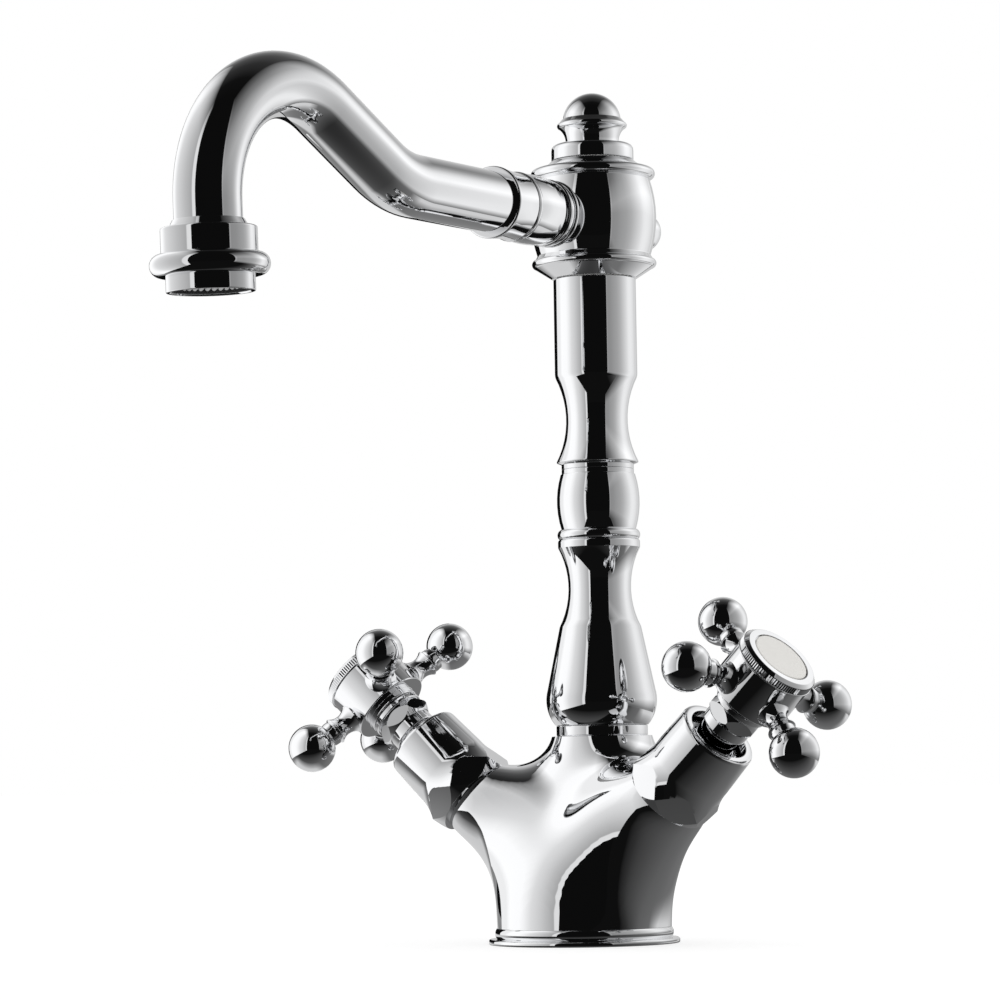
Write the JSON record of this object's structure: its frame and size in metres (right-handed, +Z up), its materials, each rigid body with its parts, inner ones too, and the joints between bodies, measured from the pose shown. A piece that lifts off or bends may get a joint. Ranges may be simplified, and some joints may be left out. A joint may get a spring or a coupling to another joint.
{
  "type": "bathroom mixer faucet",
  "caption": "Deck-mounted bathroom mixer: Y-shaped body with slanted cross-handle valves, a turned column with a finial, and a swan-neck spout that swings about the column.",
  "frame": {"origin": "centre of the base flange on the deck", "axes": "+Z up, -Y towards the user along the spout, +X to the cold valve"},
  "size_m": [0.173, 0.2232, 0.2467],
  "materials": {
    "chrome": "polished chrome plate on brass",
    "brass": "machined",
    "steel": "plain",
    "rubber": "matt",
    "washer": "low-friction plastic",
    "ceramic": "lapped ceramic",
    "index": "glazed cream porcelain, bare",
    "aerator": "moulded"
  },
  "bodies": {
    "mixer": {"mixer_body": "chrome", "base_ring": "chrome", "base_gasket": "rubber", "neck_ring": "chrome", "lower_column": "chrome", "column_knop": "chrome", "upper_column": "chrome", "swivel_spigot": "brass", "spigot_oring_lower": "rubber", "spigot_oring_upper": "rubber", "swivel_washer_lower": "washer", "swivel_washer_upper": "washer", "finial": "chrome", "hot_valve_shroud": "chrome", "hot_cartridge": "brass", "hot_lock_nut": "chrome", "hot_fixed_disc": "ceramic", "hot_seat_seal": "rubber", "cold_valve_shroud": "chrome", "cold_cartridge": "brass", "cold_lock_nut": "chrome", "cold_fixed_disc": "ceramic", "cold_seat_seal": "rubber"},
    "hot_handle": {"hot_spindle": "brass", "hot_moving_disc": "ceramic", "hot_spindle_oring": "rubber", "hot_handle_hub": "chrome", "hot_handle_arm_1": "chrome", "hot_handle_arm_2": "chrome", "hot_handle_arm_3": "chrome", "hot_handle_arm_4": "chrome", "hot_handle_screw": "steel", "hot_index_bezel": "chrome", "hot_index_disc": "index"},
    "cold_handle": {"cold_spindle": "brass", "cold_moving_disc": "ceramic", "cold_spindle_oring": "rubber", "cold_handle_hub": "chrome", "cold_handle_arm_1": "chrome", "cold_handle_arm_2": "chrome", "cold_handle_arm_3": "chrome", "cold_handle_arm_4": "chrome", "cold_handle_screw": "steel", "cold_index_bezel": "chrome", "cold_index_disc": "index"},
    "spout": {"swivel_housing": "chrome", "rear_plug": "chrome", "spout_union": "chrome", "spout_collar": "chrome", "spout_seal": "rubber", "spout_pipe": "chrome", "spout_tip": "chrome", "aerator_housing": "chrome", "aerator_insert": "aerator", "aerator_seal": "rubber"}
  },
  "joints": [
    {"name": "hot_handle_turn", "type": "hinge", "parent": "mixer", "child": "hot_handle", "pos_m": [-0.06464, -0.00886, 0.07163], "axis": [-0.7271, -0.0784, 0.682], "range_deg": [0, 90]},
    {"name": "cold_handle_turn", "type": "hinge", "parent": "mixer", "child": "cold_handle", "pos_m": [0.06464, -0.00886, 0.07163], "axis": [0.7271, -0.0784, 0.682], "range_deg": [-90, 0]},
    {"name": "spout_swing", "type": "hinge", "parent": "mixer", "child": "spout", "pos_m": [0, 0.011, 0.2086], "axis": [0, 0, 1], "continuous": true}
  ]
}
